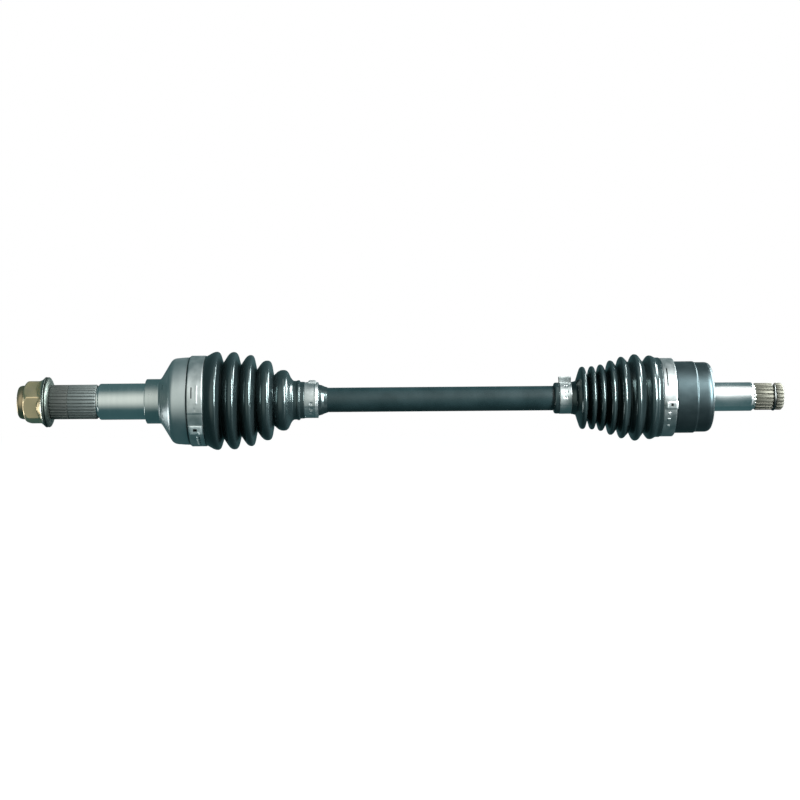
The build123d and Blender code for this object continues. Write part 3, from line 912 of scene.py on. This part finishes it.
def sheet_faces(rows, columns, ends):
    """Faces round a top grid of points and the bottom grid after it; ends closes the first and last rows."""
    width = columns + 1
    shift = (rows + 1) * width
    faces = []
    for j in range(rows):
        for i in range(columns):
            a = j * width + i
            faces.append((a, a + 1, a + 1 + width, a + width))
            faces.append((shift + a, shift + a + width, shift + a + 1 + width, shift + a + 1))
    for j in range(rows):
        a, d = j * width, (j + 1) * width
        faces.append((a, d, shift + d, shift + a))
        b, c = a + columns, d + columns
        faces.append((b, shift + b, shift + c, c))
    if ends:
        for row, turn in ((0, False), (rows, True)):
            for i in range(columns):
                a = row * width + i
                quad = (a, shift + a, shift + a + 1, a + 1)
                faces.append(tuple(reversed(quad)) if turn else quad)
    return faces


def band_strip(x0, x1, r, lift, steps, material):
    """Strip all round the circle; lift(share across, angle) raises it."""
    across = 32
    edge_drop, edge_width = 0.16, 0.30

    def height(i, angle):
        share = i / across
        edge = min(share, 1 - share) * (x1 - x0)
        return lift(share, angle) - edge_drop * max(0, 1 - edge / edge_width) ** 2

    top, bottom = [], []
    for j in range(steps + 1):
        angle = -180 + 360 * j / steps
        a = radians(angle)
        row_top, row_bottom = [], []
        for i in range(across + 1):
            x = x0 + (x1 - x0) * i / across
            up = r + height(i, angle)
            row_top.append((x, -up * cos(a), up * sin(a)))
            down = r - BAND_THICKNESS + max(0, height(i, angle) + edge_drop)
            row_bottom.append((x, -down * cos(a), down * sin(a)))
        top.append(row_top)
        bottom.append(row_bottom)
    verts = [p for row in top + bottom for p in row]
    return keep_edges(make_object("band", verts, sheet_faces(steps, across, False), [material]), 35)


def bump_shape(share, angle, x_low, x_high, a_low, a_high, soft_x=0.08, soft_a=2.0):
    """1 inside a patch of the strip, falling smoothly to 0 outside it."""
    def ease(value):
        t = min(max(value, 0), 1)
        return t * t * (3 - 2 * t)
    in_x = ease((share - x_low) / soft_x + 0.5) * ease((x_high - share) / soft_x + 0.5)
    in_a = ease((angle - a_low) / soft_a + 0.5) * ease((a_high - angle) / soft_a + 0.5)
    return in_x * in_a


def pad(name, x0, x1, low, high, r, height, cut, material=STRIP):
    """Small raised block that follows the circle, with rounded edges and a slightly domed top."""
    nx, na = 10, 14
    sunk = 0.4

    def grid(up):
        rows = []
        for j in range(na + 1):
            v = j / na
            row = []
            for i in range(nx + 1):
                u = i / nx
                edge_u = min(u, 1 - u) * (x1 - x0)
                edge_v = min(v, 1 - v) * radians(high - low) * r
                drop = max(0, 1 - min(edge_u, edge_v) / (cut * 2)) ** 2 * cut if up else 0
                a = radians(low + (high - low) * v)
                rr = r + height - drop if up else r - sunk
                row.append((x0 + (x1 - x0) * u, -rr * cos(a), rr * sin(a)))
            rows.append(row)
        return rows

    verts = [p for row in grid(True) + grid(False) for p in row]
    return keep_edges(make_object(name, verts, sheet_faces(na, nx, True), [material]), 45)


def outer_clamp_large():
    """Wide band on the bell: overlapping tail, raised tongue, slit, buckle plate and marks; the slit, hole
    and slots are dark sheets of painted shade, and the plate, hook and marks are pale steel painted as
    highlight.
    """
    x0, x1 = span("outer_boot_clamp_large")
    r = BELL_R + 1.7

    def layers(share, angle):
        tail = 0.35 * bump_shape(share, angle, -0.2, 1.2, -16, 56, soft_a=0.8)
        tongue = 0.30 * bump_shape(share, angle, 0.58, 0.66, -4, 19, 0.10, 2)
        dot = -0.20 * bump_shape(share, angle, 0.44, 0.56, -12.5, -9, 0.12, 2)
        plate = 0.30 * bump_shape(share, angle, 0.02, 0.98, -46, -32, 0.06, 3.0)
        return tail + tongue + dot + plate - 0.35

    def at(share):
        return x0 + share * (x1 - x0)

    # Slit and hole: near-black sheets of painted shade; plate, hook and marks: pale steel as painted
    # highlight; slots: dark painted shade.
    marks = [
        pad("slit", at(0.25), at(0.33), 3, 17, r, 0.03, 0.02, HOLE_PAINTED_SHADE),
        pad("plate", at(0.06), at(0.94), -46, -32.5, r - 0.2, 0.50, 0.4, BUCKLE_PAINTED_LIGHT),
        pad("hole", at(0.33), at(0.60), -40.6, -36.6, r + 0.27, 0.06, 0.02, HOLE_PAINTED_SHADE),
        pad("hook", at(0.60), at(0.76), -46, -41.5, r - 0.1, 0.95, 0.45, BUCKLE_PAINTED_LIGHT),
    ]
    for i in range(4):
        top = -51 - 6 * i
        marks += [
            pad(f"mark_{i}", at(0.48), at(0.58), top - 3.2, top, r - 0.35, 0.35, 0.2, BUCKLE_PAINTED_LIGHT),
            pad(f"slot_{i}", at(0.66), at(0.73), top - 4.2, top, r - 0.38, 0.05, 0.02, WIRE_AND_SLOT_SHADE),
        ]
    band = band_strip(x0, x1, r, layers, 480, STRIP)
    return joined("outer_clamp_large_skin", [band, *marks])


def outer_clamp_small():
    """Narrow band on the wheel-end boot's neck, with a low crimped ear and two studs."""
    x0, x1 = span("outer_boot_clamp_small")
    r = 15.2

    def layers(share, angle):
        tail = 0.3 * bump_shape(share, angle, -0.2, 1.2, -22, 66, soft_a=2)
        ridge = 0.3 * bump_shape(share, angle, 0.76, 0.86, -70, 60, 0.10, 3)
        dents = -0.35 * sum(
            bump_shape(share, angle, 0.40, 0.62, at - 4, at + 4, 0.12, 3) for at in (-12, -30, -48)
        )
        return tail + ridge + dents - 0.3

    band = band_strip(x0, x1, r, layers, 300, STRIP)
    ear = pad("ear", x0 + 3.0, x1 - 2.0, 72, 100, r - 0.2, 1.5, 0.7)
    studs = [
        pad(f"stud_{i}", x0 + 4.6, x0 + 6.4, at - 3, at + 3, r - 0.6, 0.55, 0.3)
        for i, at in enumerate((-17, -40))
    ]
    return joined("outer_clamp_small_skin", [band, ear, *studs])


def inner_clamp_small():
    """Narrow band on the differential-end boot's neck, with a tall crimped ear on top."""
    x0, x1 = span("inner_boot_clamp_small")
    r = 13.4

    def layers(share, angle):
        tail = 0.3 * bump_shape(share, angle, -0.2, 1.2, -26, 88, soft_a=2)
        dents = -0.40 * sum(
            bump_shape(share, angle, left, left + 0.13, at - 4, at + 4, 0.08, 3)
            for at in (46, 24, 2) for left in (0.36, 0.56)
        )
        return tail + dents - 0.3

    band = band_strip(x0, x1, r, layers, 300, STRIP)
    return joined("inner_clamp_small_skin", [band, ear_loop(x0 - 0.1, x1 - 0.1, r)])


def ear_loop(x0, x1, r):
    """Crimped ear: a strip that stands up from the band, bulges and dips in its middle."""
    top, half = 4.45, 5.0
    roof = 0.72
    steps = 40
    outline = []
    for i in range(steps + 1):
        side = -1 + 2 * i / steps
        if abs(side) > roof:
            s = (1 - abs(side)) / (1 - roof)
            y = half * (0.80 - 0.12 * cos(pi * s))
            z = r - 0.5 + (top + 0.2) * s
        else:
            s = abs(side) / roof
            y = half * 0.92 * s
            z = r + top - 0.75 * (1 - s * s) ** 2
        outline.append((y if side > 0 else -y, z))
    across = 10
    thickness = 0.8
    verts, faces = [], []
    for layer in (0, 1):
        for i, (y, z) in enumerate(outline):
            before = outline[max(i - 1, 0)]
            after = outline[min(i + 1, steps)]
            tangent = Vector((after[0] - before[0], after[1] - before[1])).normalized()
            normal = Vector((-tangent.y, tangent.x))
            yy = y - normal.x * thickness * layer
            zz = z - normal.y * thickness * layer
            for k in range(across + 1):
                u = k / across
                edge = min(u, 1 - u) * (x1 - x0)
                drop = 0.2 * max(0, 1 - edge / 0.5) ** 2 * (1 - layer)
                verts.append((x0 + (x1 - x0) * u, yy - normal.x * drop, zz - normal.y * drop))
    width = across + 1
    shift = (steps + 1) * width
    for i in range(steps):
        for k in range(across):
            a = i * width + k
            faces.append((a, a + width, a + width + 1, a + 1))
            faces.append((shift + a, shift + a + 1, shift + a + width + 1, shift + a + width))
        a, d = i * width, (i + 1) * width
        faces.append((a, shift + a, shift + d, d))
        b, c = a + across, d + across
        faces.append((b, c, shift + c, shift + b))
    return keep_edges(make_object("ear", verts, faces, [STRIP]), 40)


def inner_clamp_large():
    """Wide band on the cup: slit tail, buckle with a tooth and an eye, and a row of raised dots; the slit and
    the eye are near-black sheets of painted shade, and the band is a darker copy of the strip, also painted
    shade.
    """
    x0, x1 = span("inner_boot_clamp_large")
    r = 32.9

    def layers(share, angle):
        return 0.35 * bump_shape(share, angle, -0.2, 1.2, -12, 74, soft_a=0.8) - 0.35

    def at(share):
        return x0 + share * (x1 - x0)

    # Slit and eye: near-black sheets that paint shade.
    marks = [
        pad("slit", at(0.24), at(0.34), 16, 46, r, 0.03, 0.02, HOLE_PAINTED_SHADE),
        pad("buckle", at(0.12), x1 + 0.6, -17, -6, r - 0.2, 1.25, 0.5),
        pad("tooth", at(0.16), at(0.32), -16, -7.5, r + 0.7, 0.6, 0.3),
        pad("eye", at(0.48), at(0.72), -12.8, -8.2, r + 0.86, 0.22, 0.1, HOLE_PAINTED_SHADE),
    ]
    for i, angle in enumerate((-24.5, -34, -46)):
        marks.append(pad(f"dot_{i}", at(0.28), at(0.52), angle - 2.4, angle + 2.4, r - 0.6, 0.70, 0.45))
    band = band_strip(x0, x1, r, layers, 480, SHADED_STRIP)
    return joined("inner_clamp_large_skin", [band, *marks])


# ---------------------------------------------------------------- put together

def place(piece, body, node, slot):
    """Puts a piece on its body, in the place of a CAD node."""
    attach(piece, body)
    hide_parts(node)


place(wheel_nut(), "wheel_nut", "wheel_nut", "zinc_yellow")
place(nut_washer(), "nut_washer", "nut_washer", "zinc_yellow")
place(outer_housing(), "wheel_end", "outer_joint_housing", "machined_steel")
place(outer_clamp_large(), "wheel_end", "outer_boot_clamp_large", "stainless_band")
place(outer_clamp_small(), "shaft", "outer_boot_clamp_small", "stainless_band")
place(shaft_bar(), "shaft", "shaft_bar", "black_paint")
place(inner_clamp_small(), "shaft", "inner_boot_clamp_small", "stainless_band")
place(inner_clamp_large(), "differential_end", "inner_boot_clamp_large", "stainless_band")
place(inner_cup(), "differential_end", "inner_joint_cup", "cup_paint")
place(stub_circlip(), "differential_end", "stub_circlip", "spring_steel")
outer_boot()
inner_boot()

HIDDEN = {
    "outer_joint_cage": RACE_STEEL, "outer_joint_race": RACE_STEEL, "outer_race_clip": WIRE_AND_SLOT_SHADE,
    "inner_joint_cage": RACE_STEEL, "inner_joint_race": RACE_STEEL, "inner_race_clip": WIRE_AND_SLOT_SHADE,
    "cup_stopper_ring": WIRE_AND_SLOT_SHADE,
}
for number in range(1, 7):
    HIDDEN[f"outer_ball_{number}"] = BALL_STEEL
    HIDDEN[f"inner_ball_{number}"] = BALL_STEEL
for node, material in HIDDEN.items():
    mesh = frame["nodes"][node].data
    mesh.materials.clear()
    mesh.materials.append(material)


# ---------------------------------------------------------------- stage, light and camera

def softbox(name, at, aim, size, power, colour):
    """Rectangular studio light."""
    data = bpy.data.lights.new(name, "AREA")
    data.shape = "RECTANGLE"
    data.size, data.size_y = size
    data.energy = power
    data.color = colour
    light = bpy.data.objects.new(name, data)
    light.location = at
    light.rotation_euler = (Vector(aim) - Vector(at)).to_track_quat("-Z", "Y").to_euler()
    bpy.context.scene.collection.objects.link(light)


class Sky:
    """World whose brightness is built up from soft patches in chosen directions."""

    def __init__(self, below, above):
        self.world = bpy.data.worlds.new("studio")
        bpy.context.scene.world = self.world
        self.world.use_nodes = True
        self.tree = self.world.node_tree
        self.tree.nodes.clear()
        split = self.tree.nodes.new("ShaderNodeSeparateXYZ")
        place = self.tree.nodes.new("ShaderNodeTexCoord")
        self.link(place.outputs["Generated"], split.inputs[0])
        self.side = self.math("ARCTAN2", split.outputs["X"], self.math("MULTIPLY", split.outputs["Y"], -1.0))
        self.height = self.math("ARCSINE", split.outputs["Z"])
        low = self.tree.nodes.new("ShaderNodeRGB")
        low.outputs[0].default_value = (*below, 1)
        rise = self.math("MULTIPLY", self.math("ADD", split.outputs["Z"], 1.0), 0.5)
        self.colour = self.mixed(rise, low.outputs[0], above)

    def link(self, a, b):
        self.tree.links.new(a, b)

    def math(self, operation, a, b=0.0):
        node = self.tree.nodes.new("ShaderNodeMath")
        node.operation = operation
        for socket, value in zip(node.inputs, (a, b)):
            if isinstance(value, float):
                socket.default_value = value
            else:
                self.link(value, socket)
        return node.outputs[0]

    def mixed(self, share, under, over):
        """Plain colour laid over another in a share."""
        mix = self.tree.nodes.new("ShaderNodeMix")
        mix.data_type = "RGBA"
        self.link(share, mix.inputs["Factor"])
        self.link(under, mix.inputs["A"])
        mix.inputs["B"].default_value = (*over, 1)
        return mix.outputs["Result"]

    def window(self, value, middle, full, nothing):
        """1 up to one distance from the middle, easing to 0 at another."""
        ease = self.tree.nodes.new("ShaderNodeMapRange")
        ease.interpolation_type = "SMOOTHSTEP"
        ease.inputs["From Min"].default_value = radians(nothing)
        ease.inputs["From Max"].default_value = radians(full)
        off = self.math("ABSOLUTE", self.math("SUBTRACT", value, radians(middle)))
        self.link(off, ease.inputs["Value"])
        return ease.outputs["Result"]

    def patch(self, side, height, colour):
        """Soft patch; side and height are (middle, full, nothing) in degrees round and up."""
        share = self.math("MULTIPLY", self.window(self.side, *side), self.window(self.height, *height))
        self.colour = self.mixed(share, self.colour, colour)

    def finish(self):
        """White to the camera, and the patches to everything else."""
        out = self.tree.nodes.new("ShaderNodeOutputWorld")
        seen = self.tree.nodes.new("ShaderNodeBackground")
        seen.inputs["Color"].default_value = (1, 1, 1, 1)
        around = self.tree.nodes.new("ShaderNodeBackground")
        self.link(self.colour, around.inputs["Color"])
        path = self.tree.nodes.new("ShaderNodeLightPath")
        mixer = self.tree.nodes.new("ShaderNodeMixShader")
        self.link(path.outputs["Is Camera Ray"], mixer.inputs["Fac"])
        self.link(around.outputs[0], mixer.inputs[1])
        self.link(seen.outputs[0], mixer.inputs[2])
        self.link(mixer.outputs[0], out.inputs["Surface"])


def floor():
    """White floor below the shaft."""
    n = Nodes("floor_white")
    tone = n.ramp(n.noise(3, 3), (0.10, 0.10, 0.10), (0.12, 0.12, 0.12))
    n.link(tone, n.shader.inputs["Base Color"])
    n.shader.inputs["Roughness"].default_value = 0.9
    n.shader.inputs["Emission Color"].default_value = (1, 1, 1, 1)
    n.shader.inputs["Emission Strength"].default_value = 0.95
    size = 6.0
    gap_below = 0.12
    low = CAD_BOX[0].z - gap_below
    mesh = bpy.data.meshes.new("floor")
    mesh.from_pydata(
        [(MIDDLE_X + x * size, y * size, low) for x, y in ((-1, -1), (1, -1), (1, 1), (-1, 1))],
        [], [(0, 1, 2, 3)],
    )
    mesh.materials.append(n.material)
    thing = bpy.data.objects.new("floor", mesh)
    bpy.context.scene.collection.objects.link(thing)
    thing.visible_glossy = False
    thing.visible_diffuse = False


def studio():
    """Sky with one soft patch to the left and two to the right, and three panels, the strongest in front."""
    sky = Sky(below=(0.040, 0.100, 0.108), above=(0.075, 0.150, 0.158))
    sky.patch((-24, 15, 32), (12, 6, 68), (0.80, 0.86, 0.80))
    sky.patch((53, 7, 16), (-5, 5, 75), (1.30, 1.36, 1.36))
    sky.patch((42, 28, 50), (56, 34, 62), (0.95, 0.97, 0.95))
    sky.finish()
    cool = (0.96, 1.0, 1.0)
    softbox("front_right", (MIDDLE_X + 1.15, -0.97, 0.56), (MIDDLE_X, 0, 0), (0.34, 1.5), 98, cool)
    softbox("far_right", (MIDDLE_X + 1.45, 0.52, 0.45), (MIDDLE_X + 0.2, 0, 0), (0.8, 1.3), 70, cool)
    softbox("far_left", (MIDDLE_X - 1.5, 0.45, -0.25), (MIDDLE_X, 0, 0), (0.8, 0.6), 7, cool)


# Camera: lens and sensor in millimetres, places in metres.
LENS = 76.5
SENSOR = 36.0
DISTANCE = 1.411
AIM_X = 0.2099
AIM_Z = -0.00053
ROLL = radians(-0.47)


def camera():
    """Level view square to the shaft, turned a little so that the shaft rises to the right."""
    data = bpy.data.cameras.new("camera")
    data.lens = LENS
    data.sensor_width = SENSOR
    eye = bpy.data.objects.new("camera", data)
    eye.location = (AIM_X, -DISTANCE, AIM_Z)
    level = Euler((pi / 2, 0, 0)).to_matrix()
    eye.rotation_euler = (level @ Euler((0, 0, ROLL)).to_matrix()).to_euler()
    bpy.context.scene.collection.objects.link(eye)
    bpy.context.scene.camera = eye


floor()
studio()
camera()
bpy.context.scene.view_settings.view_transform = "Standard"
